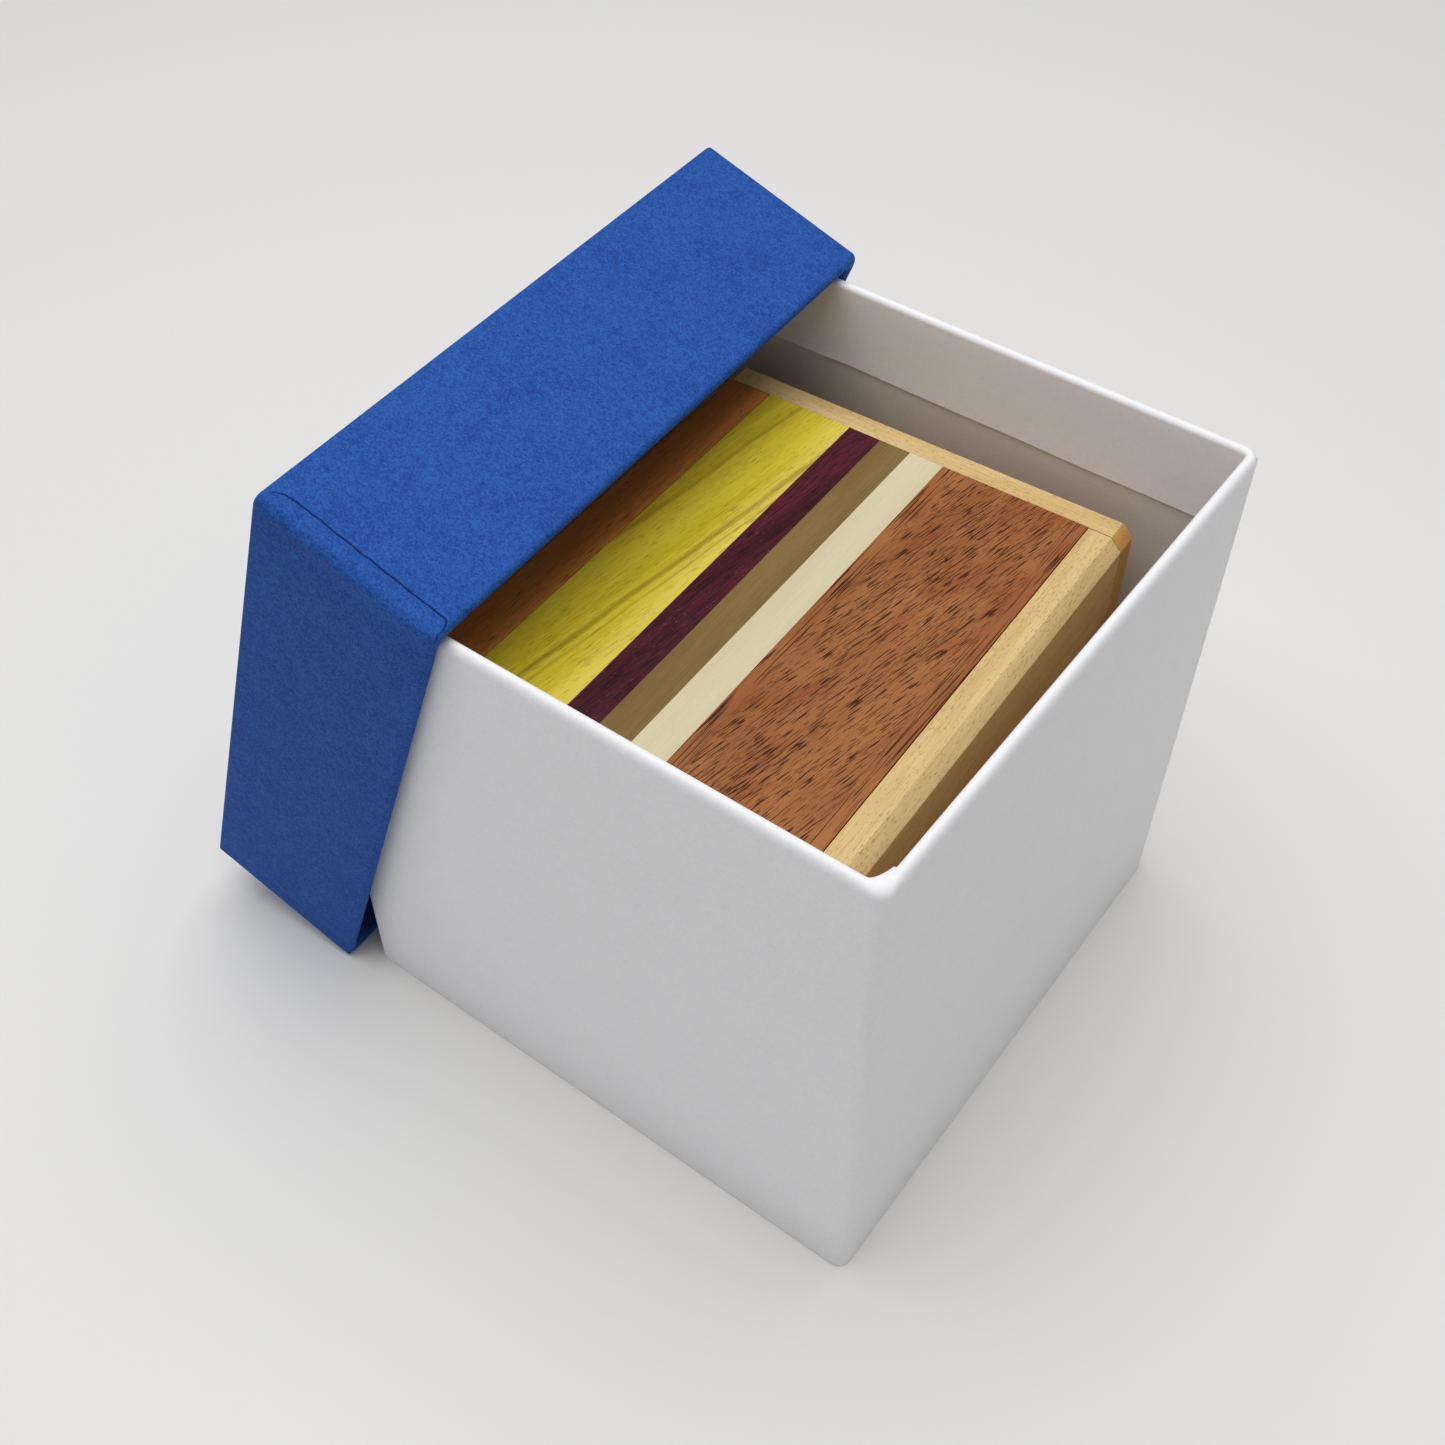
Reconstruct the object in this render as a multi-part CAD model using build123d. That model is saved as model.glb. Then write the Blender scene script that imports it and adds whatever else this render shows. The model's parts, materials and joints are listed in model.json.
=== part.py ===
from build123d import *
from math import cos, radians, sin
import os

# Wooden puzzle box in its card presentation box.
# Millimetres. The origin is the middle of the tray's base, on the surface it stands on.
# +X points away from the leaning lid, +Y to the back, +Z up.

# ---- driving dimensions: card tray ------------------------------------------
TRAY_WIDTH = 94.0          # outside, along X
TRAY_LENGTH = 95.0         # outside, along Y
TRAY_HEIGHT = 92.0
PAPER = 0.3                # covering and lining paper
TRAY_BOARD = 1.2           # grey board under the paper
TRAY_TURN_IN = 12.8        # depth of the covering folded in over the rim
FOLD_RADIUS = 1.5          # folded paper bridging the inside corners of the rim
RIM_BEAD = 1.2             # height of the paper fold above the boards
RIM_ROUNDING = 0.8

# ---- driving dimensions: card lid -------------------------------------------
LID_WIDTH = 100.5          # outside, square
LID_DEPTH = 29.2
LID_BOARD = 1.1
LID_TURN_IN = 15.0
LID_FOLD_RADIUS = 1.0
LID_TILT = 19.8            # lean of the lid from upright, degrees
LID_YAW = 3.0              # the lid stands slightly turned on the tray, degrees
LID_FOOT = (-53.4, -1.1)   # middle of the lid's lower rim on the floor

# ---- driving dimensions: puzzle box -----------------------------------------
BOX_WIDTH = 67.0           # along X, if both side panels were as thick as the walls
BOX_LENGTH = 83.4          # along Y
BOX_HEIGHT = 75.0
BOX_CENTRE = (2.3, -1.6)   # where it stands in the tray
BOX_YAW = 2.2              # it stands slightly turned, degrees
WALL = 5.5                 # wooden boards
LEFT_WALL = 8.7            # the left panel is thicker,
LEFT_SHIFT = 0.8           # and its inside face is this much nearer the middle
CHAMFER = 1.9
GLUE_GROOVE = 1.6          # depth of the housings for the fixed boards
SLIDE_GAP = 0.15           # clearance on every sliding face

STRIP_THICKNESS = 2.8
CORE_THICKNESS = 5.2
STRIPS = (                 # name and width, from -X to +X; together they fill the frame
    ("yellow_strip", 14.6),
    ("purple_strip", 5.5),
    ("olive_strip", 5.3),
    ("cream_strip", 5.7),
    ("mahogany_strip", 24.1),
)

BOTTOM_THICKNESS = 4.0
SHELF_BASE = 46.0          # underside of the shelf that carries the lock
SHELF_THICKNESS = 3.0
INNER_WALL = 3.0

# ---- driving dimensions: sliding panels and lock ----------------------------
RIGHT_TRAVEL = 38.0        # right panel slides up
LEFT_TRAVEL = 5.0          # left panel slides up and drives the lock bar
TONGUE_INSET = 1.8         # from the panel's inside face
TONGUE_WIDTH = 1.8
TONGUE_DEPTH = 2.2
TONGUE_SPAN = (3.0, 31.0)  # lowest and highest point of each tongue
FLOOR_GAP = 0.3            # sliding panels stay clear of the tray's floor

BAR_WIDTH = 12.0
BAR_BASE = 53.0
BAR_HEIGHT = 8.0
BAR_SETBACK = 1.8          # from the bar's nose at rest to the right panel
FORK_ROOT = -9.0
FORK_END = -23.5
FORK_GAP = 5.6
PEG_RADIUS = 1.25
PEG_PLACE = -19.0
CAM_THICKNESS = 5.0
CAM_SPAN = (49.5, 61.5)    # lowest and highest point of the cam plate
CAM_END = -11.0
RAIL_WIDTH = 3.35
RAIL_SPAN = (-6.0, 24.0)
COVER_SPAN = (6.0, 20.0)
COVER_THICKNESS = 2.0

PIN_RADIUS = 1.5
PIN_LENGTH = 12.0
PIN_SETBACK = 1.5          # from a pin's end at rest to the right panel
PIN_OFFSET = 22.0          # pins lie this far each side of the middle
GUIDE_LENGTH = 16.0
GUIDE_WIDTH = 10.0
GUIDE_HEIGHT = 13.0
LOCK_DEPTH = 3.5           # mortises in the right panel
LOCK_CLEARANCE = 0.3

# ---- derived ----------------------------------------------------------------
HALF_X = BOX_WIDTH / 2
HALF_Y = BOX_LENGTH / 2
INNER_X = HALF_X - WALL                  # inside faces of the boards
INNER_Y = HALF_Y - WALL
INNER_LEFT = LEFT_SHIFT - INNER_X
LEFT_X = INNER_LEFT - LEFT_WALL          # outside faces of the side panels
RIGHT_X = HALF_X
SHELF_TOP = SHELF_BASE + SHELF_THICKNESS
STRIP_BASE = BOX_HEIGHT - STRIP_THICKNESS
CORE_BASE = STRIP_BASE - CORE_THICKNESS
BAR_NOSE = INNER_X - BAR_SETBACK
BAR_MIDDLE = BAR_BASE + BAR_HEIGHT / 2
PIN_END = INNER_X - PIN_SETBACK
TRAY_FLOOR = 2 * PAPER + TRAY_BOARD
TRAY_CORNER_RADIUS = TRAY_BOARD + PAPER  # outside upright corners
LID_CORNER_RADIUS = LID_BOARD + PAPER

parts = {}


def block(x0, x1, y0, y1, z0, z1):
    """A box between two opposite corners."""
    size = Box(x1 - x0, y1 - y0, z1 - z0)
    return Pos((x0 + x1) / 2, (y0 + y1) / 2, (z0 + z1) / 2) * size


def column(size, trim, z0, z1, radius=0):
    """A column on the Z axis, smaller than size by trim, with rounded upright corners."""
    width, length = size[0] - trim, size[1] - trim
    outline = RectangleRounded(width, length, radius) if radius else Rectangle(width, length)
    return Pos(0, 0, z0) * extrude(outline, z1 - z0)


def slanted_slot(x, z, travel, radius, length):
    """A slot at 45 degrees for a peg along Y that starts at (x, z) and ends right and down."""
    start = Pos(x, 0, z) * Rot(90, 0, 0) * Cylinder(radius, length)
    end = Pos(x + travel, 0, z - travel) * Rot(90, 0, 0) * Cylinder(radius, length)
    run = travel * 2 ** 0.5
    middle = Pos(x + travel / 2, 0, z - travel / 2) * Rot(0, 45, 0) * Box(run, length, 2 * radius)
    return start + end + middle


# ---- card boxes: size is the outside width and length -------------------------
def card_walls(size, board, z0, z1, names):
    """Four wall boards that meet at rounded corner stays."""
    outer_x, outer_y = size[0] / 2 - PAPER, size[1] / 2 - PAPER
    inner_x, inner_y = outer_x - board, outer_y - board
    boards = (
        block(-inner_x, inner_x, -outer_y, -inner_y, z0, z1),
        block(-inner_x, inner_x, inner_y, outer_y, z0, z1),
        block(-outer_x, -inner_x, -inner_y, inner_y, z0, z1),
        block(inner_x, outer_x, -inner_y, inner_y, z0, z1),
    )
    return dict(zip(names, boards))


def corner_stays(size, board, z0, z1):
    """Quarter-round stays that join the wall boards at the four corners."""
    reach_x, reach_y = size
    inner_x, inner_y = reach_x / 2 - PAPER - board, reach_y / 2 - PAPER - board
    ring = column(size, 2 * PAPER, z0, z1, board)
    along_y = block(-inner_x, inner_x, -reach_y, reach_y, z0, z1)
    along_x = block(-reach_x, reach_x, -inner_y, inner_y, z0, z1)
    return ring - along_y - along_x


def hollow_trim(board):
    """How much smaller the lined hollow is than the outside."""
    return 4 * PAPER + 2 * board


def covering(size, board, height, corner_radius, turn_in, fold_radius):
    """Paper skin of a card box that stands open side up: outside, rim and turn-in."""
    hollow = hollow_trim(board)
    board_top = height - RIM_BEAD
    skin = column(size, 0, 0, height, corner_radius)
    skin -= column(size, 2 * PAPER, 0, board_top, corner_radius - PAPER)
    skin -= column(size, hollow, board_top, height, fold_radius)
    rim = skin.edges().group_by(Axis.Z)[-1]
    skin = fillet(rim, RIM_ROUNDING)
    fold = column(size, hollow - 2 * PAPER, board_top - turn_in, board_top)
    fold -= column(size, hollow, board_top - turn_in, board_top, fold_radius)
    return skin + fold


def lining(size, board, z0, z1):
    """Lining paper on the four walls."""
    hollow = hollow_trim(board)
    return column(size, hollow - 2 * PAPER, z0, z1) - column(size, hollow, z0, z1)


def make_tray():
    size = (TRAY_WIDTH, TRAY_LENGTH)
    boards_top = TRAY_HEIGHT - RIM_BEAD
    on_boards = hollow_trim(TRAY_BOARD) - 2 * PAPER
    names = ("tray_front_board", "tray_back_board", "tray_left_board", "tray_right_board")
    parts.update(card_walls(size, TRAY_BOARD, PAPER, boards_top, names))
    parts["tray_corner_stays"] = corner_stays(size, TRAY_BOARD, PAPER, boards_top)
    parts["tray_base_board"] = column(size, on_boards, PAPER, PAPER + TRAY_BOARD)
    parts["tray_base_paper"] = column(size, 2 * PAPER, 0, PAPER, TRAY_CORNER_RADIUS - PAPER)
    parts["tray_floor_paper"] = column(size, on_boards, PAPER + TRAY_BOARD, TRAY_FLOOR)
    parts["tray_lining"] = lining(size, TRAY_BOARD, TRAY_FLOOR, boards_top - TRAY_TURN_IN)
    parts["tray_wrap"] = covering(
        size, TRAY_BOARD, TRAY_HEIGHT, TRAY_CORNER_RADIUS, TRAY_TURN_IN, FOLD_RADIUS)


def lid_frame():
    """Plane on the lid's rim: local X up the leaning lid, local Z from the rim to its top."""
    tilt, yaw = radians(LID_TILT), radians(LID_YAW)
    up = Vector(sin(tilt) * cos(yaw), sin(tilt) * sin(yaw), cos(tilt))
    out = Vector(-cos(tilt) * cos(yaw), -cos(tilt) * sin(yaw), sin(tilt))
    middle = Vector(LID_FOOT[0], LID_FOOT[1], 0) + up * (LID_WIDTH / 2)
    return Plane(origin=middle, x_dir=up, z_dir=out)


def make_lid():
    size = (LID_WIDTH, LID_WIDTH)
    board_base = RIM_BEAD
    board_top = LID_DEPTH - PAPER - LID_BOARD
    paper_base = LID_DEPTH - PAPER
    names = ("lid_front_board", "lid_back_board", "lid_lower_board", "lid_upper_board")
    lid = card_walls(size, LID_BOARD, board_base, board_top, names)
    lid["lid_corner_stays"] = corner_stays(size, LID_BOARD, board_base, board_top)
    lid["lid_top_board"] = column(
        size, 2 * PAPER, board_top, paper_base, LID_CORNER_RADIUS - PAPER)
    ceiling = column(size, hollow_trim(LID_BOARD) - 2 * PAPER, board_top - PAPER, board_top)
    lid["lid_lining"] = lining(size, LID_BOARD, board_base + LID_TURN_IN, board_top) + ceiling
    skin = covering(
        size, LID_BOARD, LID_DEPTH, LID_CORNER_RADIUS, LID_TURN_IN, LID_FOLD_RADIUS)
    skin = Pos(0, 0, LID_DEPTH) * Rot(180, 0, 0) * skin
    cap = column(size, 0, paper_base, LID_DEPTH, LID_CORNER_RADIUS)
    lid["lid_wrap"] = skin + cap
    place = Location(lid_frame())
    for name, solid in lid.items():
        parts[name] = place * solid


# ---- puzzle box, in its own upright frame with its base at Z 0 ------------------
def broken_block():
    """The whole box with every outside edge broken, to trim the boards with."""
    whole = block(LEFT_X, RIGHT_X, -HALF_Y, HALF_Y, 0, BOX_HEIGHT)
    return chamfer(whole.edges(), CHAMFER)


def tongue_bar(x_side, half_width, reach, z0, z1):
    """A bar along Y where a side panel's two tongues lie."""
    inside = INNER_X if x_side > 0 else INNER_LEFT
    x = inside + x_side * (TONGUE_INSET + TONGUE_WIDTH / 2)
    return block(x - half_width, x + half_width, -reach, reach, z0, z1)


def tongue_housing(x_side, travel):
    """The two stopped grooves that a sliding panel's tongues run in."""
    return tongue_bar(
        x_side, TONGUE_WIDTH / 2 + SLIDE_GAP, INNER_Y + TONGUE_DEPTH + SLIDE_GAP,
        TONGUE_SPAN[0] - SLIDE_GAP, TONGUE_SPAN[1] + travel + SLIDE_GAP)


def make_panel(x_side, whole):
    """A side panel between the front and back boards, with a tongue at each end."""
    near, far = (INNER_X, RIGHT_X) if x_side > 0 else (LEFT_X, INNER_LEFT)
    reach = INNER_Y - SLIDE_GAP
    panel = block(near, far, -reach, reach, FLOOR_GAP, BOX_HEIGHT) & whole
    return panel + tongue_bar(x_side, TONGUE_WIDTH / 2, reach + TONGUE_DEPTH, *TONGUE_SPAN)


def make_case(whole):
    housed = INNER_Y + GLUE_GROOVE
    left, right = INNER_LEFT + SLIDE_GAP, INNER_X - SLIDE_GAP
    bottom = block(left, right, -housed, housed, 0, BOTTOM_THICKNESS)
    shelf = block(left, right, -housed, housed, SHELF_BASE, SHELF_TOP)
    core = block(left, right, -housed, housed, CORE_BASE, STRIP_BASE)
    grooves = tongue_housing(1, RIGHT_TRAVEL) + tongue_housing(-1, LEFT_TRAVEL)
    for name, y_side in (("front_board", -1), ("back_board", 1)):
        near, far = sorted((y_side * INNER_Y, y_side * HALF_Y))
        board = block(LEFT_X, RIGHT_X, near, far, 0, BOX_HEIGHT) & whole
        parts[name] = board - grooves - bottom - shelf - core
    parts["bottom_board"] = bottom
    parts["mechanism_shelf"] = shelf
    parts["top_core"] = core
    wall_face = left + FLOOR_GAP
    parts["inner_wall"] = block(
        wall_face, wall_face + INNER_WALL, -INNER_Y, INNER_Y, BOTTOM_THICKNESS, SHELF_BASE)
    field = sum(width for _, width in STRIPS)
    scale = (right - left) / field
    x = left
    for name, width in STRIPS:
        parts[name] = block(x, x + width * scale, -INNER_Y, INNER_Y, STRIP_BASE, BOX_HEIGHT)
        x += width * scale


def make_lock_bar():
    bar_top = BAR_BASE + BAR_HEIGHT
    half_bar = BAR_WIDTH / 2
    bar = block(FORK_END, BAR_NOSE, -half_bar, half_bar, BAR_BASE, bar_top)
    bar -= block(FORK_END, FORK_ROOT, -FORK_GAP / 2, FORK_GAP / 2, BAR_BASE, bar_top)
    peg = Pos(PEG_PLACE, 0, BAR_MIDDLE) * Rot(90, 0, 0) * Cylinder(PEG_RADIUS, BAR_WIDTH)
    parts["lock_bar"] = bar - peg
    parts["cam_peg"] = peg

    rail = half_bar + SLIDE_GAP
    outside = rail + RAIL_WIDTH
    bed_top = BAR_BASE - SLIDE_GAP
    rail_top = bar_top + SLIDE_GAP
    parts["bar_bed"] = block(*RAIL_SPAN, -outside, outside, SHELF_TOP, bed_top)
    parts["bar_rails"] = (
        block(*RAIL_SPAN, rail, outside, bed_top, rail_top)
        + block(*RAIL_SPAN, -outside, -rail, bed_top, rail_top))
    parts["bar_cover"] = block(
        *COVER_SPAN, -outside, outside, rail_top, rail_top + COVER_THICKNESS)


def make_pins():
    """Two loose pins in blind bores, along X."""
    along = Rot(0, 90, 0)
    bore_start = PIN_END - PIN_LENGTH - SLIDE_GAP
    guide_end = INNER_X - FLOOR_GAP
    for name, y in (("front_pin", -PIN_OFFSET), ("back_pin", PIN_OFFSET)):
        pin = Cylinder(PIN_RADIUS, PIN_LENGTH)
        parts[name] = Pos(PIN_END - PIN_LENGTH / 2, y, BAR_MIDDLE) * along * pin
        guide = block(
            guide_end - GUIDE_LENGTH, guide_end, y - GUIDE_WIDTH / 2, y + GUIDE_WIDTH / 2,
            SHELF_TOP, SHELF_TOP + GUIDE_HEIGHT)
        bore = Cylinder(PIN_RADIUS + SLIDE_GAP, 2 * (guide_end - bore_start))
        parts[f"{name}_guide"] = guide - Pos(guide_end, y, BAR_MIDDLE) * along * bore


def make_panels(whole):
    """The left panel with its cam plate, and the right panel with its mortises."""
    cam = block(
        INNER_LEFT, CAM_END, -CAM_THICKNESS / 2, CAM_THICKNESS / 2, *CAM_SPAN)
    slot = slanted_slot(
        PEG_PLACE, BAR_MIDDLE, LEFT_TRAVEL, PEG_RADIUS + SLIDE_GAP, 2 * CAM_THICKNESS)
    parts["cam_plate"] = cam - slot
    parts["left_panel"] = make_panel(-1, whole)

    right = make_panel(1, whole)
    half_bar = BAR_WIDTH / 2 + LOCK_CLEARANCE
    along = Rot(0, 90, 0)
    for drop in (0, RIGHT_TRAVEL):
        right -= block(
            INNER_X, INNER_X + LOCK_DEPTH, -half_bar, half_bar,
            BAR_BASE - LOCK_CLEARANCE - drop, BAR_BASE + BAR_HEIGHT + LOCK_CLEARANCE - drop)
        for y in (-PIN_OFFSET, PIN_OFFSET):
            hole = Cylinder(PIN_RADIUS + LOCK_CLEARANCE, 2 * LOCK_DEPTH)
            right -= Pos(INNER_X, y, BAR_MIDDLE - drop) * along * hole
    parts["right_panel"] = right


def make_puzzle():
    whole = broken_block()
    before = set(parts)
    make_case(whole)
    make_lock_bar()
    make_pins()
    make_panels(whole)
    place = Pos(BOX_CENTRE[0], BOX_CENTRE[1], TRAY_FLOOR) * Rot(0, 0, BOX_YAW)
    for name in set(parts) - before:
        parts[name] = place * parts[name]


make_tray()
make_lid()
make_puzzle()
os.makedirs("parts", exist_ok=True)
for name, solid in parts.items():
    export_step(solid, f"parts/{name}.step")
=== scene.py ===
import json
from math import asin, atan2, cos, pi, radians, sin, sqrt

import bmesh
import bpy
from mathutils import Matrix, Vector, noise


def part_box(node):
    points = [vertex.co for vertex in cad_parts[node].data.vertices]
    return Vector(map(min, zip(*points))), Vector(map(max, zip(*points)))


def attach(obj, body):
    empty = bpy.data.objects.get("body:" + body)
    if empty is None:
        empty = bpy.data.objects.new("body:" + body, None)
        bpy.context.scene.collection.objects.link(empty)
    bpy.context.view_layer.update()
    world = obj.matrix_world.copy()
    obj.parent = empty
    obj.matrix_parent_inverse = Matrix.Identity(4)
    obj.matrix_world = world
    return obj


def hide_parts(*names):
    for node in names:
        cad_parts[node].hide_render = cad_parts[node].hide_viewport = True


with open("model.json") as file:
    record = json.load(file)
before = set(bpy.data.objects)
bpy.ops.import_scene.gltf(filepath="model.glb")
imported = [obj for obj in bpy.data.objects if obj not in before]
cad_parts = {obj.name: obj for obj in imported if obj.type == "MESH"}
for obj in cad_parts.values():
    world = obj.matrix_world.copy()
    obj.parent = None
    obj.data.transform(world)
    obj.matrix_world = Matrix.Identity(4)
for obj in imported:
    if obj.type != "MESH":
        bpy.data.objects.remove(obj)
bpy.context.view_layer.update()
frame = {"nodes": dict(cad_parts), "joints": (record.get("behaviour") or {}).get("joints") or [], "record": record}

MM = 0.001
UP = Vector((0, 0, 1))


# ---- where things are, from the frame ---------------------------------------
def joint_axis(name):
    """The direction of a joint, as a unit vector."""
    joint = next(j for j in frame["joints"] if j["name"] == name)
    return Vector(joint["axis"]).normalized()


def span(axis, *names):
    """Lowest and highest reach of some CAD nodes along a direction."""
    reach = [v.co.dot(axis) for name in names for v in frame["nodes"][name].data.vertices]
    return min(reach), max(reach)


def thickness(node, axis):
    low, high = span(axis, node)
    return high - low


def frame_matrix(x_axis, y_axis, z_axis, origin):
    """The matrix that takes local points to the row frame."""
    turn = Matrix((x_axis, y_axis, z_axis)).transposed().to_4x4()
    return Matrix.Translation(origin) @ turn


BOX_X = joint_axis("lock_bar_slide")
BOX_Y = UP.cross(BOX_X)
BOX_YAW = atan2(BOX_X.y, BOX_X.x)
ALONG_STRIPS = BOX_YAW + pi / 2

LID_OUT = joint_axis("lid_slide")
LID_ALONG = LID_OUT.cross(UP).normalized()
LID_UP = LID_ALONG.cross(LID_OUT)


def lid_place():
    """Local X runs up the lid, local Y along it, local Z from its rim to its top."""
    low_up, high_up = span(LID_UP, "lid_wrap")
    low_along, high_along = span(LID_ALONG, "lid_wrap")
    rim = span(LID_OUT, "lid_wrap")[0]
    origin = (
        LID_UP * (low_up + high_up) / 2
        + LID_ALONG * (low_along + high_along) / 2
        + LID_OUT * rim)
    return frame_matrix(LID_UP, LID_ALONG, LID_OUT, origin)


# ---- materials ----------------------------------------------------------------
def tint(red, green, blue):
    """A colour from 0 to 255 as light."""
    parts = []
    for value in (red, green, blue):
        share = value / 255
        parts.append(share / 12.92 if share < 0.04045 else ((share + 0.055) / 1.055) ** 2.4)
    return (*parts, 1.0)


class Surface:
    """One material, and short ways to add shader nodes to it."""

    def __init__(self, name, roughness, specular=0.4):
        self.material = bpy.data.materials.new(name)
        self.material.use_nodes = True
        self.tree = self.material.node_tree
        self.shader = self.tree.nodes["Principled BSDF"]
        self.shader.inputs["Roughness"].default_value = roughness
        self.shader.inputs["Specular IOR Level"].default_value = specular

    def plug(self, socket, value):
        if isinstance(value, bpy.types.NodeSocket):
            self.tree.links.new(value, socket)
        else:
            socket.default_value = value

    def local(self, turn=0.0):
        """Object coordinates, turned about Z so that X runs along the grain."""
        place = self.tree.nodes.new("ShaderNodeTexCoord")
        if not turn:
            return place.outputs["Object"]
        mapping = self.tree.nodes.new("ShaderNodeMapping")
        mapping.inputs["Rotation"].default_value = (0, 0, -turn)
        self.plug(mapping.inputs["Vector"], place.outputs["Object"])
        return mapping.outputs[0]

    def stretch(self, vector, sizes, shift=(0.0, 0.0, 0.0)):
        """Coordinates that count in steps of the given sizes, in millimetres."""
        mapping = self.tree.nodes.new("ShaderNodeMapping")
        mapping.inputs["Scale"].default_value = [1 / (size * MM) for size in sizes]
        mapping.inputs["Location"].default_value = shift
        self.plug(mapping.inputs["Vector"], vector)
        return mapping.outputs[0]

    def noise(self, vector, detail=2.0, rough=0.5, distortion=0.0):
        node = self.tree.nodes.new("ShaderNodeTexNoise")
        node.inputs["Scale"].default_value = 1.0
        node.inputs["Detail"].default_value = detail
        node.inputs["Roughness"].default_value = rough
        node.inputs["Distortion"].default_value = distortion
        self.plug(node.inputs["Vector"], vector)
        return node.outputs["Fac"]

    def ramp(self, value, low, high, start=0.0, end=1.0):
        """Value from low to high becomes start to end, smoothly, and is held outside."""
        node = self.tree.nodes.new("ShaderNodeMapRange")
        node.interpolation_type = "SMOOTHSTEP"
        self.plug(node.inputs["Value"], value)
        bounds = (("From Min", low), ("From Max", high), ("To Min", start), ("To Max", end))
        for name, bound in bounds:
            self.plug(node.inputs[name], bound)
        return node.outputs["Result"]

    def math(self, operation, first, second=0.0):
        node = self.tree.nodes.new("ShaderNodeMath")
        node.operation = operation
        self.plug(node.inputs[0], first)
        self.plug(node.inputs[1], second)
        return node.outputs[0]

    def times(self, first, second):
        return self.math("MULTIPLY", first, second)

    def weighted(self, *parts):
        """The sum of some values, each times its weight."""
        terms = [self.times(value, weight) for value, weight in parts]
        total = terms[0]
        for term in terms[1:]:
            total = self.math("ADD", total, term)
        return total

    def along(self, vector, direction):
        """How far coordinates lie in a direction."""
        node = self.tree.nodes.new("ShaderNodeVectorMath")
        node.operation = "DOT_PRODUCT"
        self.plug(node.inputs[0], vector)
        node.inputs[1].default_value = direction
        return node.outputs["Value"]

    def facing(self, direction):
        """How squarely the surface faces a direction, from -1 to 1."""
        normal = self.tree.nodes.new("ShaderNodeTexCoord").outputs["Normal"]
        return self.along(normal, direction)

    def mix(self, share, first, second):
        """The first colour where share is 0, the second where it is 1."""
        node = self.tree.nodes.new("ShaderNodeMix")
        node.data_type = "RGBA"
        self.plug(node.inputs[0], share)
        self.plug(node.inputs[6], first)
        self.plug(node.inputs[7], second)
        return node.outputs[2]

    def colour(self, value):
        self.plug(self.shader.inputs["Base Color"], value)

    def roughness(self, value):
        self.plug(self.shader.inputs["Roughness"], value)

    def relief(self, height, depth):
        """Bump of the given depth in millimetres for a height from 0 to 1."""
        node = self.tree.nodes.new("ShaderNodeBump")
        node.inputs["Distance"].default_value = depth * MM
        self.plug(node.inputs["Height"], height)
        self.plug(self.shader.inputs["Normal"], node.outputs[0])


def paper(name, pale, deep, roughness, tooth, fleck=0.0):
    """Covering paper: matted fibres over a soft cloudy tone, with a few dark flecks."""
    surface = Surface(name, roughness, 0.25)
    place = surface.local()
    cloud = surface.noise(surface.stretch(place, (7, 7, 7)), 4, 0.6)
    mat = surface.noise(surface.stretch(place, (0.9, 0.9, 0.9)), 4, 0.7, 1.6)
    grit = surface.noise(surface.stretch(place, (0.28, 0.28, 0.28)), 2, 0.6)
    tone = surface.weighted((cloud, 0.12), (mat, 0.5), (grit, 0.38))
    body = surface.mix(surface.ramp(tone, 0.38, 0.62), deep, pale)
    if fleck:
        hair = surface.noise(surface.stretch(place, (0.8, 0.45, 0.6)), 1, 0.5, 1.2)
        mark = surface.ramp(hair, 0.7, 0.78, 0.0, fleck)
        darker = (*(0.3 * c for c in deep[:3]), 1.0)
        body = surface.mix(mark, body, darker)
    surface.colour(body)
    surface.relief(surface.math("ADD", mat, grit), tooth)
    return surface.material


def grained(name, turn, pale, deep, end, roughness=0.5):
    """Wood seen from any side: growth bands and fine fibre, and darker end grain.

    turn is the grain's direction, about Z from X."""
    surface = Surface(name, roughness, 0.15)
    place = surface.local(turn)
    bands = surface.noise(surface.stretch(place, (60, 4.5, 4.5)), 3, 0.55, 0.6)
    fibre = surface.noise(surface.stretch(place, (7, 0.22, 0.22)), 3, 0.6)
    tone = surface.weighted((bands, 0.55), (fibre, 0.45))
    body = surface.mix(surface.ramp(tone, 0.36, 0.64), deep, pale)
    endwise = surface.facing((cos(turn), sin(turn), 0.0))
    on_end = surface.ramp(surface.math("ABSOLUTE", endwise), 0.45, 0.75)
    body = surface.mix(on_end, body, end)
    return surface, place, body, fibre


def pores(surface, place, size, low, shift=(0.0, 0.0, 0.0)):
    """Thin open pores along the grain, as a mask. size is length, width and depth of one."""
    grain = surface.noise(surface.stretch(place, size, shift), 1, 0.35)
    crowd = surface.noise(surface.stretch(place, (11, 4, 4), shift), 2)
    lifted = surface.math("ADD", grain, surface.times(crowd, 0.22))
    return surface.ramp(lifted, low, low + 0.035)


def in_box(surface, middle):
    """Distances in metres from a strip's middle: across the strips, and along them."""
    place = surface.local()
    across = surface.math(
        "SUBTRACT", surface.along(place, (BOX_X.x, BOX_X.y, 0)), middle.dot(BOX_X))
    length = surface.math(
        "SUBTRACT", surface.along(place, (BOX_Y.x, BOX_Y.y, 0)), middle.dot(BOX_Y))
    return across, length


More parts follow.
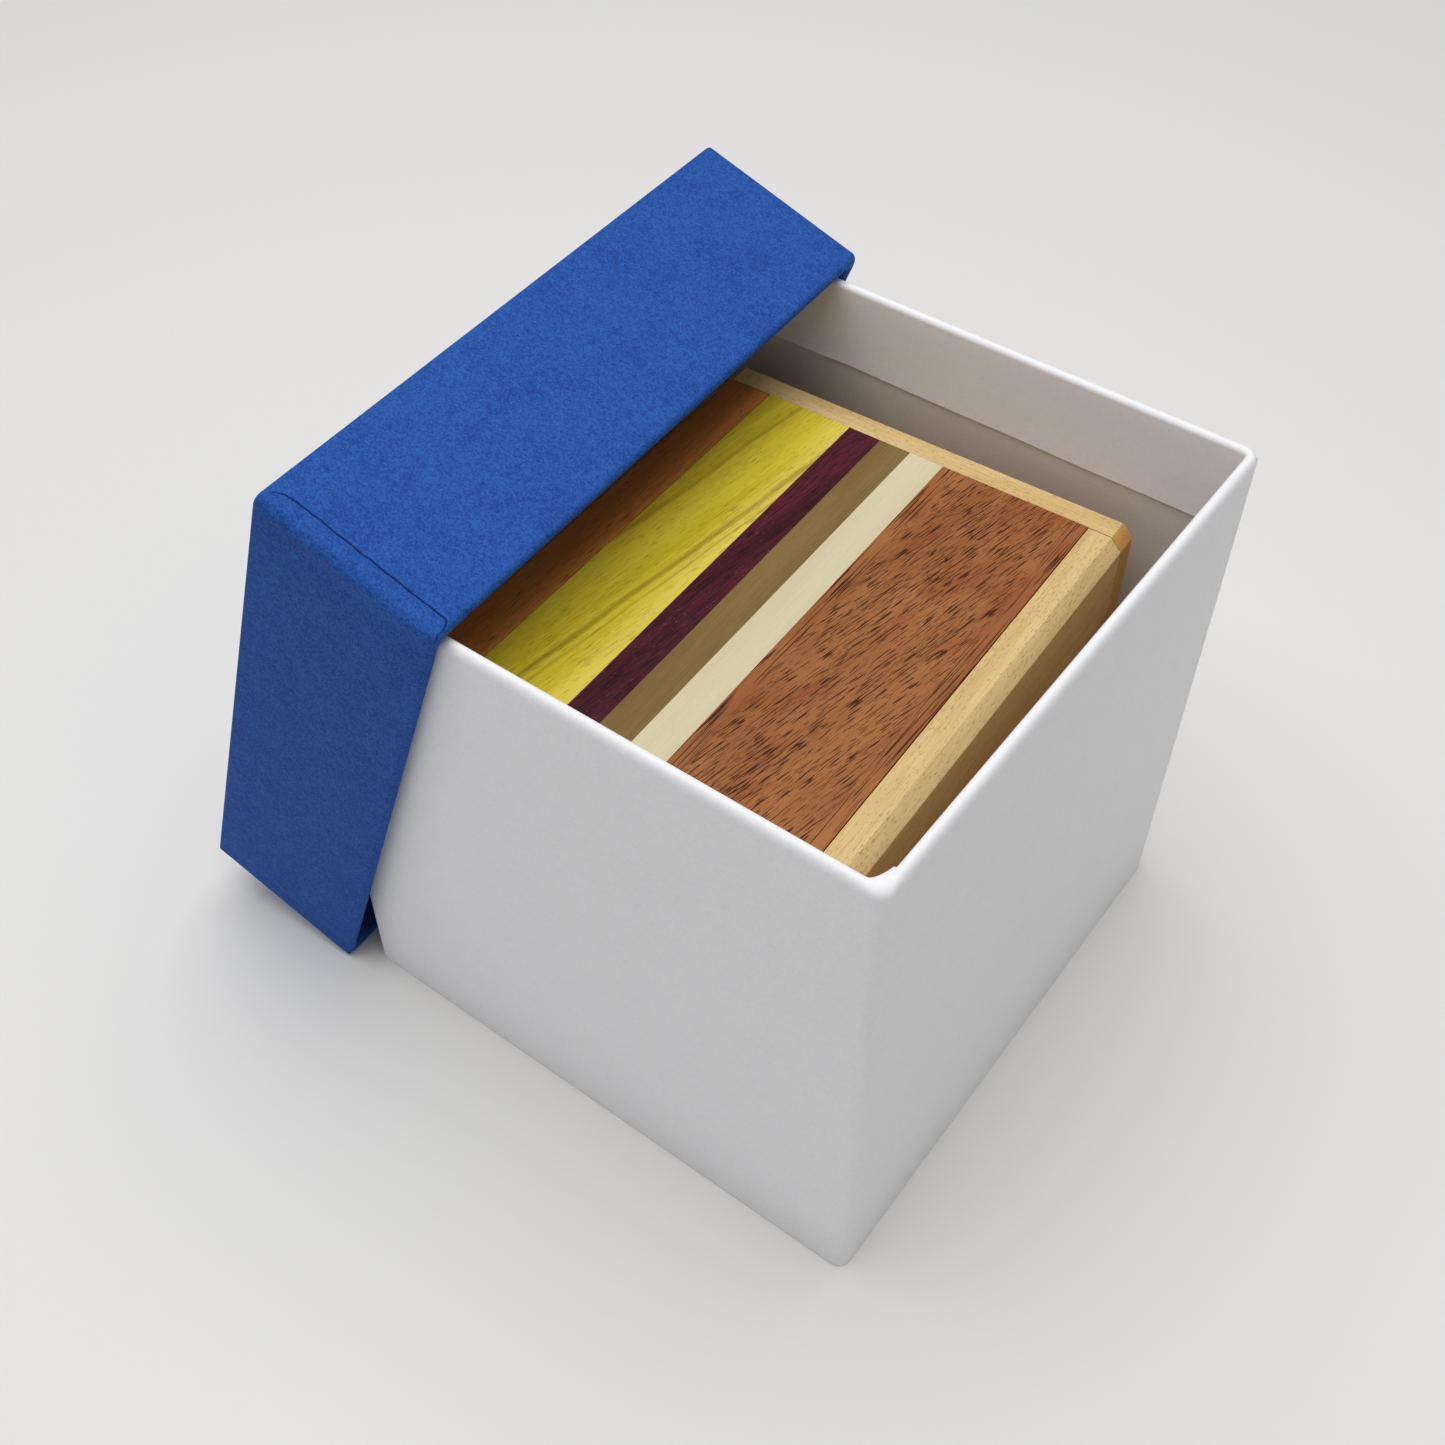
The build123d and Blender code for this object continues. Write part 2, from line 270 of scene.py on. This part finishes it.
def maple(name, turn):
    """Pale maple with tiny grey ticks; painted shade makes its sides deeper in tone than its top."""
    surface, place, body, fibre = grained(
        name, turn, tint(222, 193, 140), tint(200, 167, 110), tint(186, 138, 72))
    # Painted shade: faces that do not face up are mixed toward a deeper brown, for the shade that falls on the
    # boards' sides.
    painted_side_shade = surface.ramp(surface.facing((0, 0, 1)), 0.2, 0.6, 0.55, 0.0)
    body = surface.mix(painted_side_shade, body, tint(186, 134, 66))
    tick = pores(surface, place, (0.9, 0.22, 0.22), 0.735)
    body = surface.mix(surface.times(tick, 0.45), body, tint(138, 114, 70))
    surface.colour(body)
    surface.roughness(surface.ramp(fibre, 0.3, 0.7, 0.42, 0.56))
    surface.relief(fibre, 0.015)
    return surface.material


def brown_wood(turn):
    """Plain brown wood of the left side, with fine dark fibre."""
    surface, place, body, fibre = grained(
        "brown_wood", turn, tint(210, 134, 66), tint(178, 110, 52), tint(132, 76, 36))
    line = pores(surface, place, (3.0, 0.24, 0.24), 0.74)
    body = surface.mix(surface.times(line, 0.5), body, tint(140, 62, 28))
    surface.colour(body)
    surface.relief(surface.math("SUBTRACT", fibre, line), 0.03)
    return surface.material


STREAK_SLOPE = 0.145        # the yellow wood's streaks drift to the right going back
# Each streak's place across the strip and half its width, in millimetres, and its strength.
STREAKS = ((3.6, 0.8, 0.7), (5.1, 0.35, 0.45), (-6.6, 0.7, 0.5))


def yellow_wood(middle):
    """Bright yellow wood, with olive streaks that cross it at a slant."""
    surface, place, body, fibre = grained(
        "yellow_wood", ALONG_STRIPS - atan2(STREAK_SLOPE, 1.0),
        tint(230, 207, 62), tint(208, 184, 42), tint(150, 122, 22), 0.45)
    across, length = in_box(surface, middle)
    right = surface.ramp(across, 2.5 * MM, 6.5 * MM, 0.0, 0.4)
    body = surface.mix(right, body, tint(238, 218, 112))
    sway = surface.noise(surface.stretch(place, (26, 26, 26)), 1)
    sway = surface.times(surface.math("SUBTRACT", sway, 0.5), 2.4 * MM)
    drift = surface.math("SUBTRACT", across, surface.times(length, STREAK_SLOPE))
    drift = surface.math("ADD", drift, sway)
    wisp = surface.noise(surface.stretch(place, (16, 0.4, 0.4)), 3, 0.65)
    for centre, half, strength in STREAKS:
        off = surface.math("ABSOLUTE", surface.math("SUBTRACT", drift, centre * MM))
        streak = surface.times(surface.ramp(off, 0.0, half * MM, strength, 0.0), wisp)
        body = surface.mix(surface.times(streak, 1.7), body, tint(138, 104, 14))
    line = surface.times(pores(surface, place, (2.6, 0.16, 0.16), 0.745), 0.55)
    body = surface.mix(line, body, tint(150, 118, 22))
    edge = surface.ramp(across, 7.1 * MM, 7.5 * MM, 0.0, 0.55)
    body = surface.mix(edge, body, tint(226, 208, 120))
    surface.colour(body)
    surface.relief(surface.math("SUBTRACT", fibre, line), 0.02)
    return surface.material


def purple_wood():
    """Dark purple wood with fine pores, some of them filled and pale."""
    surface, place, body, fibre = grained(
        "purple_wood", ALONG_STRIPS - radians(7),
        tint(88, 27, 42), tint(58, 13, 24), tint(46, 12, 20))
    mark = pores(surface, place, (3.2, 0.19, 0.19), 0.67)
    body = surface.mix(surface.times(mark, 0.75), body, tint(30, 7, 15))
    filled = pores(surface, place, (0.8, 0.16, 0.16), 0.83, (3.0, 7.0, 2.0))
    body = surface.mix(surface.times(filled, 0.45), body, tint(150, 92, 108))
    surface.colour(body)
    surface.relief(surface.math("SUBTRACT", fibre, mark), 0.03)
    return surface.material


def plain_wood(name, pale, deep, end, roughness):
    """Close-grained wood along the strips, almost without figure."""
    surface, place, body, fibre = grained(name, ALONG_STRIPS, pale, deep, end, roughness)
    speck = surface.noise(surface.stretch(place, (0.9, 0.4, 0.4)), 2)
    body = surface.mix(surface.ramp(speck, 0.45, 0.75, 0.0, 0.35), body, deep)
    surface.colour(body)
    surface.relief(fibre, 0.012)
    return surface.material


def mahogany(middle, half_width):
    """Red-brown wood with long open pores, slanted in the middle and straight at both edges."""
    surface, place, body, fibre = grained(
        "mahogany", ALONG_STRIPS - radians(12),
        tint(164, 106, 60), tint(140, 86, 46), tint(92, 48, 24))
    across, length = in_box(surface, middle)
    red = surface.noise(surface.stretch(place, (16, 7, 7)), 3, 0.5, 0.8)
    far = surface.ramp(length, -10 * MM, 30 * MM, 0.0, 0.12)
    share = surface.ramp(surface.math("ADD", red, far), 0.45, 0.72, 0.0, 0.5)
    body = surface.mix(share, body, tint(138, 70, 38))
    off_middle = surface.math("ABSOLUTE", across)
    by_edge = surface.ramp(off_middle, half_width - 3.0 * MM, half_width - 1.6 * MM)
    off_edge = surface.math("SUBTRACT", 1.0, by_edge)
    straight = surface.local(ALONG_STRIPS - radians(1.5))
    coarse = pores(surface, place, (3.6, 0.23, 0.23), 0.71)
    fine = pores(surface, place, (2.2, 0.15, 0.15), 0.735, (5.0, 2.0, 0.0))
    long = pores(surface, straight, (10.0, 0.2, 0.2), 0.69, (1.0, 6.0, 0.0))
    slanted = surface.math("MAXIMUM", coarse, surface.times(fine, 0.6))
    slanted = surface.times(slanted, off_edge)
    mark = surface.math("MAXIMUM", slanted, surface.times(long, by_edge))
    body = surface.mix(surface.times(mark, 0.92), body, tint(54, 18, 10))
    surface.colour(body)
    surface.roughness(surface.ramp(fibre, 0.3, 0.7, 0.42, 0.58))
    surface.relief(surface.math("SUBTRACT", surface.times(fibre, 0.3), mark), 0.06)
    return surface.material


def brass():
    """Turned brass, with fine rings."""
    surface = Surface("pin_brass", 0.3, 0.5)
    turned = surface.noise(surface.stretch(surface.local(BOX_YAW), (0.12, 6, 6)), 2)
    surface.colour(surface.mix(turned, tint(206, 168, 96), tint(180, 140, 74)))
    surface.shader.inputs["Metallic"].default_value = 1.0
    surface.relief(turned, 0.01)
    return surface.material


# ---- card skins -----------------------------------------------------------------
PAPER = 0.3 * MM
LAYER = 0.24 * MM           # one layer of paper over another
INNER_DROP = 0.8 * MM       # height of a rolled rim's inner side
RIM_CREST = 0.55            # how far across the wall the rim's highest line lies
RIM_STEPS = 12
SMALL_CORNER = 0.4 * MM
SMOOTH_BELOW = radians(40)  # faces that meet at less than this shade as one surface
SIDE_STEPS = 22
CORNER_STEPS = 8
EVEN_SHARES = [step / SIDE_STEPS for step in range(1, SIDE_STEPS)]


def ring(half_x, half_y, radii, side_shares=None):
    """Points round a rectangle with its own rounding at each corner, anticlockwise from +X -Y.

    side_shares gives, for a side, where along it its points lie."""
    arcs = []
    for index, (side_x, side_y) in enumerate(((1, -1), (1, 1), (-1, 1), (-1, -1))):
        radius = radii[index]
        middle = Vector((side_x * (half_x - radius), side_y * (half_y - radius)))
        start = (index - 1) * pi / 2
        angles = [start + step / CORNER_STEPS * pi / 2 for step in range(CORNER_STEPS + 1)]
        arcs.append([middle + radius * Vector((cos(a), sin(a))) for a in angles])
    points = []
    for index, arc in enumerate(arcs):
        following = arcs[(index + 1) % 4][0]
        shares = (side_shares or {}).get(index, EVEN_SHARES)
        points += arc
        points += [arc[-1].lerp(following, share) for share in shares]
    return points


def skin(name, rings, materials, body, place=None, closed=True, trim=None):
    """A closed paper shell through a list of rings of 3-D points.

    trim is the place in each ring of a strip of faces that takes the second material."""
    work = bmesh.new()
    rows = [[work.verts.new(point) for point in row] for row in rings]
    pairs = list(zip(rows, rows[1:]))
    if closed:
        pairs.append((rows[-1], rows[0]))
    for low, high in pairs:
        count = len(low)
        for k in range(count):
            n = (k + 1) % count
            face = work.faces.new((low[k], low[n], high[n], high[k]))
            face.material_index = 1 if k == trim else 0
    if not closed:
        work.faces.new(reversed(rows[0]))
        work.faces.new(rows[-1])
    return finished(name, work, materials, body, place)


def finished(name, work, materials, body, place=None):
    """Makes the object of a mesh under work, puts it in place, and lets it ride."""
    bmesh.ops.recalc_face_normals(work, faces=work.faces)
    if place is not None:
        work.transform(place)
    mesh = bpy.data.meshes.new(name)
    work.to_mesh(mesh)
    work.free()
    mesh.shade_smooth()
    mesh.set_sharp_from_angle(angle=SMOOTH_BELOW)
    for material in materials:
        mesh.materials.append(material)
    piece = bpy.data.objects.new(name, mesh)
    bpy.context.scene.collection.objects.link(piece)
    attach(piece, body)
    return piece


def level(flat, z, lift=None):
    """A flat ring raised to a height."""
    return [Vector((p.x, p.y, z + (lift(p) if lift else 0.0))) for p in flat]


def inset(size, depth, radii, shares=None):
    """One flat ring of a card box, at a depth in from its outside."""
    return ring(size[0] / 2 - depth, size[1] / 2 - depth, radii, shares)


def rim_rings(outer, inner, outer_drop, top):
    """Rings over a rolled rim, from its outer side to its inner one."""
    rings = []
    for step in range(RIM_STEPS + 1):
        angle = pi * step / RIM_STEPS
        if angle < pi / 2:
            share = RIM_CREST * (1 - cos(angle))
            z = top - outer_drop * (1 - sin(angle))
        else:
            share = RIM_CREST - (1 - RIM_CREST) * cos(angle)
            z = top - INNER_DROP * (1 - sin(angle))
        rings.append([Vector((*a.lerp(b, share), z)) for a, b in zip(outer, inner)])
    return rings


TRAY_RIM_DROP = 1.5 * MM    # height of the tray's rolled rim on its outer side
TRAY_ROWS = 9
TURN_IN_ROWS = 4
BASE_EDGE = 0.35 * MM       # rounding between the tray's sides and its base
SEAM_X = -20.4 * MM         # overlap of the turned-in paper on the tray's back wall
SEAM_SLIT = 0.06 * MM       # half the width of the overlap's step
CURL = 0.12 * MM            # the turned-in edge stands off the wall
# Folded paper bridging the tray's near inside corner, ending in a small step:
# distances from the right wall and from the front wall, in millimetres.
CORNER_FOLD = (
    (2.2, 0.0), (1.7, 0.08), (1.3, 0.45), (1.0, 1.0), (0.74, 1.6), (0.5, 2.3), (0.3, 3.1),
    (0.02, 3.16), (0.0, 3.6))


def make_tray_skin(material):
    """The tray's white paper: up the outside, over the rim, and turned in."""
    low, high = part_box("tray_wrap")
    size = (high.x - low.x, high.y - low.y)
    top = high.z
    board = thickness("tray_right_board", Vector((1, 0, 0)))
    wall = board + 2 * PAPER
    turn_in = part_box("tray_lining")[1].z
    round_outside = [2.1 * MM, 2.6 * MM, 1.7 * MM, 1.7 * MM]
    round_inside = [2.2 * MM, 0.7 * MM, 1.0 * MM, 2.4 * MM]

    seam = (size[0] / 2 - SEAM_X) / size[0]
    slit = SEAM_SLIT / size[0]
    shares = {1: sorted(EVEN_SHARES + [seam - slit, seam + slit])}

    def inside(depth, folded):
        """The ring of the turned-in paper, with its corner fold and its overlap."""
        flat = inset(size, depth, round_inside, shares)
        if folded:
            corner = Vector((size[0] / 2 - depth, depth - size[1] / 2))
            for index, (from_right, from_front) in enumerate(CORNER_FOLD):
                flat[index] = corner + Vector((-from_right, from_front)) * MM
        back = size[1] / 2 - depth - 2 * MM
        return [
            p - Vector((0, LAYER)) if p.y > back and p.x < SEAM_X else p
            for p in flat]

    def ragged(point):
        """How far the turned-in paper's edge strays up or down."""
        return 0.22 * MM * noise.noise(Vector((point.x, point.y, 0)) / (14 * MM))

    outer = inset(size, 0, round_outside, shares)
    inner = inside(wall, True)
    round_base = [radius - BASE_EDGE for radius in round_outside]
    rings = [
        level(inset(size, BASE_EDGE, round_base, shares), 0),
        level(inset(size, 0.1 * MM, round_outside, shares), 0.1 * MM),
    ]
    outer_height = top - TRAY_RIM_DROP - BASE_EDGE
    for row in range(TRAY_ROWS):
        rings.append(level(outer, BASE_EDGE + outer_height * row / TRAY_ROWS))
    rings += rim_rings(outer, inner, TRAY_RIM_DROP, top)
    straight = turn_in + 1.6 * MM
    inner_height = straight - top + INNER_DROP
    for row in range(1, TURN_IN_ROWS + 1):
        rings.append(level(inner, top - INNER_DROP + inner_height * row / TURN_IN_ROWS))
    rings.append(level(inside(wall + CURL, True), turn_in, ragged))
    # Back along the paper's hidden side, over the board's top and down to the base.
    rings.append(level(inside(wall + CURL - LAYER, False), turn_in, ragged))
    rings.append(level(inside(wall - LAYER, False), straight))
    rings.append(level(inside(wall - LAYER, False), top - wall))
    middle = inset(size, wall / 2, round_outside, shares)
    rings.append(level(middle, top - 0.6 * wall))
    under = inset(size, PAPER, round_outside, shares)
    rings.append(level(under, top - 1.4 * wall))
    rings.append(level(under, 0.12 * MM))
    piece = skin("tray_paper", rings, [material], "tray")
    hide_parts("tray_wrap")
    return size, wall, turn_in


def make_tray_lining(size, wall, turn_in, material):
    """Lining paper, tucked behind the turned-in edge."""
    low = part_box("tray_lining")[0]
    corner = [SMALL_CORNER] * 4
    front = inset(size, wall - LAYER, corner)
    back = inset(size, wall - PAPER + 0.02 * MM, corner)
    tucked = turn_in + 4 * MM
    rings = [
        level(front, low.z),
        level(front, low.z + (turn_in - low.z) / 2),
        level(front, tucked),
        level(back, tucked),
        level(back, low.z),
    ]
    piece = skin("tray_lining_paper", rings, [material], "tray")
    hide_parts("tray_lining")


# Where the lid's front and back sides have points, from each upright edge, and its four
# sides have rings, from its top, in millimetres.
CLOSE_STEPS = (0.7, 1.5, 2.3, 2.9, 3.4, 3.9, 4.4, 5.0, 6.0, 8.0, 12.0, 20.0, 32.0)
ROWS_FROM_TOP = (2.0, 4.0, 7.0, 11.0, 16.0, 21.0)
TOP_RINGS = (0.8, 0.5, 0.2)     # rings in the flat of its top, as shares of its half-width
CREASE = 3.9 * MM           # soft crease beside each upright edge
CREASE_DEPTH = 0.18 * MM
CREASE_REACH = 2.0 * MM     # half its width
CREASE_START = 5.0          # it reaches its full depth this far from the top, in millimetres
LID_EDGE = 1.4 * MM         # radius of the upright edges
TOP_EDGE = 0.5 * MM         # radius of the edges round the top
TOP_EDGE_STEPS = 5
LID_RIM_DROP = 1.1 * MM     # height of the lid's rolled rim on its outer side


def make_lid_skin(material):
    """The lid's blue paper: its top, its sides, over the rim, and turned in."""
    place = lid_place()
    size = (thickness("lid_wrap", LID_UP), thickness("lid_wrap", LID_ALONG))
    depth = thickness("lid_wrap", LID_OUT)
    board = thickness("lid_upper_board", LID_UP)
    wall = board + 2 * PAPER
    turn_in = span(LID_OUT, "lid_lining")[0] - span(LID_OUT, "lid_wrap")[0]
    round_outside = [LID_EDGE] * 4
    round_inside = [1.6 * MM] * 4
    round_top = [SMALL_CORNER] * 4

    ends = [step * MM / size[0] for step in CLOSE_STEPS]
    creased_side = ends + [0.5] + [1 - share for share in reversed(ends)]
    shares = {1: creased_side, 3: creased_side}

    def creased(depth_in, deep):
        """A ring whose front and back sides dip a little beside the upright edges."""
        flat = inset(size, depth_in, round_outside, shares)
        for point in flat:
            from_edge = size[0] / 2 - abs(point.x)
            if abs(point.y) > size[1] / 2 - depth_in - 0.1 * MM:
                dip = max(0.0, 1 - abs(from_edge - CREASE) / CREASE_REACH)
                point.y -= (1 if point.y > 0 else -1) * deep * dip * dip * (3 - 2 * dip)
        return flat

    rings = []
    for share in TOP_RINGS:
        rings.append(level(inset(size, share * size[0] / 2, round_top, shares), depth))
    for step in range(TOP_EDGE_STEPS + 1):
        angle = pi / 2 * step / TOP_EDGE_STEPS
        radii = [LID_EDGE - SMALL_CORNER + SMALL_CORNER * sin(angle)] * 4
        flat = inset(size, TOP_EDGE - TOP_EDGE * sin(angle), radii, shares)
        rings.append(level(flat, depth - TOP_EDGE + TOP_EDGE * cos(angle)))
    for from_top in ROWS_FROM_TOP:
        deep = CREASE_DEPTH * min(1.0, from_top / CREASE_START)
        rings.append(level(creased(0, deep), depth - from_top * MM))
    outer = creased(0, CREASE_DEPTH)
    inner = inset(size, wall, round_inside, shares)
    over = rim_rings(outer, inner, LID_RIM_DROP, 0)
    rings += [[Vector((p.x, p.y, -p.z)) for p in row] for row in over]
    rings.append(level(inner, turn_in / 2))
    rings.append(level(inner, turn_in))
    # Back along the paper's hidden side, and over the board's top.
    behind = inset(size, wall - LAYER, round_inside, shares)
    rings.append(level(behind, turn_in))
    rings.append(level(behind, wall))
    rings.append(level(inset(size, wall / 2, round_outside, shares), wall * 0.6))
    under = inset(size, PAPER, round_outside, shares)
    rings.append(level(under, wall * 1.4))
    rings.append(level(under, depth - PAPER))
    middle = inset(size, TOP_RINGS[0] * size[0] / 2, round_top, shares)
    rings.append(level(middle, depth - PAPER))
    piece = skin("lid_paper", rings, [material], "lid", place, closed=False)
    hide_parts("lid_wrap")
    return place, size, depth, wall


FLAP_WIDTH = 3.2 * MM       # paper of the front side lapped onto the upper and lower ones
FLAP_TIP = 3.6 * MM         # length of its curved tip at the lid's top
FLAP_END = 1.1 * MM         # length of its rounded end at the rim
FLAP_NARROW = 0.25 * LID_EDGE       # its width at both ends
FLAP_WAVER = 0.16 * MM      # how far its cut edge strays
FLAP_THICKNESS = 0.16 * MM
FLAP_UNDER = 0.05 * MM      # how far its underside lies inside the lid's paper
FLAP_FOOT = 0.25 * MM       # height of its lower end over the rim
FLAP_ROWS = 90
FLAP_COLUMNS = 6
CUT_WIDTH = 0.42 * MM       # the flap's cut edge, dark blue: the paper's darker cut, partly painted shade of the seam's shadow line
CUT_UNDER = 0.01 * MM       # how far that ends inside the lid's paper


def sunk(reach):
    """How far the lid's rounded edge lies under the flat side, reach away from its corner."""
    if reach >= LID_EDGE:
        return 0.0
    return LID_EDGE - sqrt(max(0.0, LID_EDGE * LID_EDGE - (LID_EDGE - reach) ** 2))


def make_corner_flap(name, place, size, depth, wall, side_x, paper_blue, cut_edge_shade_blue):
    """Paper lapped round one upright edge of the lid, ending in a dark cut edge that is partly painted shade."""
    foot, tip = FLAP_FOOT, depth - TOP_EDGE
    start = FLAP_NARROW / 2
    rings = []
    for row in range(FLAP_ROWS + 1):
        z = foot + (tip - foot) * row / FLAP_ROWS
        from_tip = min(1.0, max(0.0, (tip - z) / FLAP_TIP))
        from_foot = min(1.0, max(0.0, (z - foot) / FLAP_END))
        rounding = sqrt(1 - (1 - from_tip) ** 2) * sqrt(1 - (1 - from_foot) ** 2)
        waver = FLAP_WAVER * noise.noise(Vector((z / (1.6 * MM), side_x * 3.0, 0.5)))
        width = FLAP_NARROW + (FLAP_WIDTH + waver - FLAP_NARROW) * rounding
        bend = asin(1 - min(1.0, z / LID_RIM_DROP))
        rolled = RIM_CREST * wall * (1 - cos(bend))
        reaches = [
            start + (width - start) * k / FLAP_COLUMNS for k in range(FLAP_COLUMNS + 1)]
        above, below = [], []
        for k, reach in enumerate(reaches + [width + CUT_WIDTH]):
            rise = FLAP_THICKNESS * min(1.0, k / 2) if k <= FLAP_COLUMNS else -CUT_UNDER
            across = size[0] / 2 - sunk(reach) - rolled
            y = reach - size[1] / 2
            above.append(Vector((side_x * (across + rise), y, z)))
            below.append(Vector((side_x * (across - FLAP_UNDER), y, z)))
        rings.append(above + below[::-1])
    skin(
        name, rings, [paper_blue, cut_edge_shade_blue], "lid", place, closed=False,
        trim=FLAP_COLUMNS)


# ---- wooden boards ----------------------------------------------------------------
SANDED = 0.12 * MM          # radius of the boards' broken arrises
ARRIS_FROM = radians(20)    # faces that meet at more than this have an arris between them
FLAT_BELOW = radians(1)     # faces that meet at less than this are one
SAME_POINT = 0.001 * MM


def eased(node, body, material):
    """A CAD board with its arrises sanded round."""
    work = bmesh.new()
    work.from_mesh(frame["nodes"][node].data)
    bmesh.ops.remove_doubles(work, verts=work.verts, dist=SAME_POINT)
    bmesh.ops.dissolve_limit(
        work, angle_limit=FLAT_BELOW, verts=work.verts, edges=work.edges)
    arrises = [
        edge for edge in work.edges
        if len(edge.link_faces) == 2 and edge.calc_face_angle() > ARRIS_FROM]
    bmesh.ops.bevel(
        work, geom=arrises, offset=SANDED, segments=2, profile=0.5, affect="EDGES",
        clamp_overlap=True)
    piece = finished(f"{node}_eased", work, [material], body)
    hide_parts(node)


def node_middle(name):
    low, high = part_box(name)
    return (low + high) / 2


def dress(materials):
    """Gives every CAD node that still shows the material of its slot."""
    for part in frame["record"]["subparts"]:
        data = frame["nodes"][part["node"]].data
        data.materials.clear()
        data.materials.append(materials[part["material_slot"]])


# ---- stage --------------------------------------------------------------------------
FLOOR_HALF = 3.0            # half the floor's width, in metres


def make_floor():
    work = bmesh.new()
    bmesh.ops.create_grid(work, x_segments=8, y_segments=8, size=FLOOR_HALF)
    mesh = bpy.data.meshes.new("floor")
    work.to_mesh(mesh)
    work.free()
    surface = Surface("floor_pale", 0.7, 0.2)
    surface.colour(tint(232, 231, 229))
    mesh.materials.append(surface.material)
    floor = bpy.data.objects.new("floor", mesh)
    bpy.context.scene.collection.objects.link(floor)


def make_light(name, position, target, size, power):
    light = bpy.data.lights.new(name, "AREA")
    light.shape = "DISK"
    light.size = size
    light.energy = power
    lamp = bpy.data.objects.new(name, light)
    lamp.location = position
    toward = Vector(target) - Vector(position)
    lamp.rotation_euler = toward.to_track_quat("-Z", "Y").to_euler()
    bpy.context.scene.collection.objects.link(lamp)


def make_world(strength):
    world = bpy.data.worlds.new("studio")
    world.use_nodes = True
    background = world.node_tree.nodes["Background"]
    background.inputs["Color"].default_value = (1.0, 1.0, 1.0, 1.0)
    background.inputs["Strength"].default_value = strength
    bpy.context.scene.world = world


CAMERA_AZIMUTH = radians(36.74)         # to the right of the tray's front
CAMERA_ELEVATION = radians(47.93)
CAMERA_DISTANCE = 271.2 * MM
CAMERA_TARGET = Vector((-9.9, -0.7, 41.4)) * MM
CAMERA_LENS = 43.02


def make_camera():
    """Looks down on the near right corner."""
    level_share = cos(CAMERA_ELEVATION)
    away = Vector((
        sin(CAMERA_AZIMUTH) * level_share,
        -cos(CAMERA_AZIMUTH) * level_share,
        sin(CAMERA_ELEVATION)))
    data = bpy.data.cameras.new("camera")
    data.sensor_width = 36.0
    data.lens = CAMERA_LENS
    data.clip_start = 0.01
    camera = bpy.data.objects.new("camera", data)
    camera.location = CAMERA_TARGET + away * CAMERA_DISTANCE
    camera.rotation_euler = (-away).to_track_quat("-Z", "Y").to_euler()
    bpy.context.scene.collection.objects.link(camera)
    bpy.context.scene.camera = camera


# ---- everything -----------------------------------------------------------------------
white = paper("white_paper", tint(244, 244, 247), tint(238, 238, 241), 0.5, 0.006)
lining_white = paper("lining_paper", tint(228, 221, 215), tint(220, 213, 207), 0.6, 0.008)
blue = paper("blue_paper", tint(40, 95, 178), tint(20, 63, 140), 0.8, 0.06, 0.5)
# Dark blue of the flaps' cut edges: partly the paper's darker cut, partly painted shade for the shadow line at the
# seam.
cut_edge_shade_blue = paper("blue_paper_cut_shade", tint(14, 38, 104), tint(8, 26, 80), 0.9, 0.02)
dark_blue = paper("dark_lining", tint(22, 38, 84), tint(14, 26, 62), 0.8, 0.02)
grey_board = paper("grey_board", tint(170, 164, 154), tint(140, 134, 124), 0.9, 0.05, 0.4)
maple_across = maple("maple", BOX_YAW)
maple_along = maple("maple_sides", ALONG_STRIPS)
brown_along = brown_wood(ALONG_STRIPS)
mahogany_half = thickness("mahogany_strip", BOX_X) / 2
materials = {
    "white_paper": white,
    "lining_paper": lining_white,
    "grey_board": grey_board,
    "blue_paper": blue,
    "dark_lining": dark_blue,
    "maple": maple_across,
    "brown_wood": brown_along,
    "yellow_wood": yellow_wood(node_middle("yellow_strip")),
    "purple_wood": purple_wood(),
    "olive_wood": plain_wood(
        "olive_wood", tint(132, 108, 62), tint(115, 92, 50), tint(84, 62, 28), 0.5),
    "cream_wood": plain_wood(
        "cream_wood", tint(214, 203, 170), tint(205, 193, 158), tint(170, 150, 100), 0.45),
    "mahogany": mahogany(node_middle("mahogany_strip"), mahogany_half),
    "core_wood": plain_wood(
        "core_wood", tint(190, 152, 100), tint(160, 122, 74), tint(120, 82, 42), 0.6),
    "lock_wood": plain_wood(
        "lock_wood", tint(144, 96, 58), tint(112, 70, 40), tint(80, 46, 24), 0.5),
    "pin_brass": brass(),
}
dress(materials)

tray_size, tray_wall, tray_turn_in = make_tray_skin(white)
make_tray_lining(tray_size, tray_wall, tray_turn_in, lining_white)
lid_frame, lid_size, lid_depth, lid_wall = make_lid_skin(blue)
for side, side_x in (("upper", 1), ("lower", -1)):
    make_corner_flap(
        f"lid_{side}_flap", lid_frame, lid_size, lid_depth, lid_wall, side_x, blue, cut_edge_shade_blue)

eased("front_board", "case", maple_across)
eased("back_board", "case", maple_across)
eased("right_panel", "right_side", maple_along)
eased("left_panel", "left_side", brown_along)

make_floor()
make_world(strength=0.3)
make_light("softbox", position=(-0.07, 0.0, 0.8), target=(0, 0, 0.08), size=1.0, power=6.0)
make_camera()
bpy.context.scene.view_settings.view_transform = "Standard"
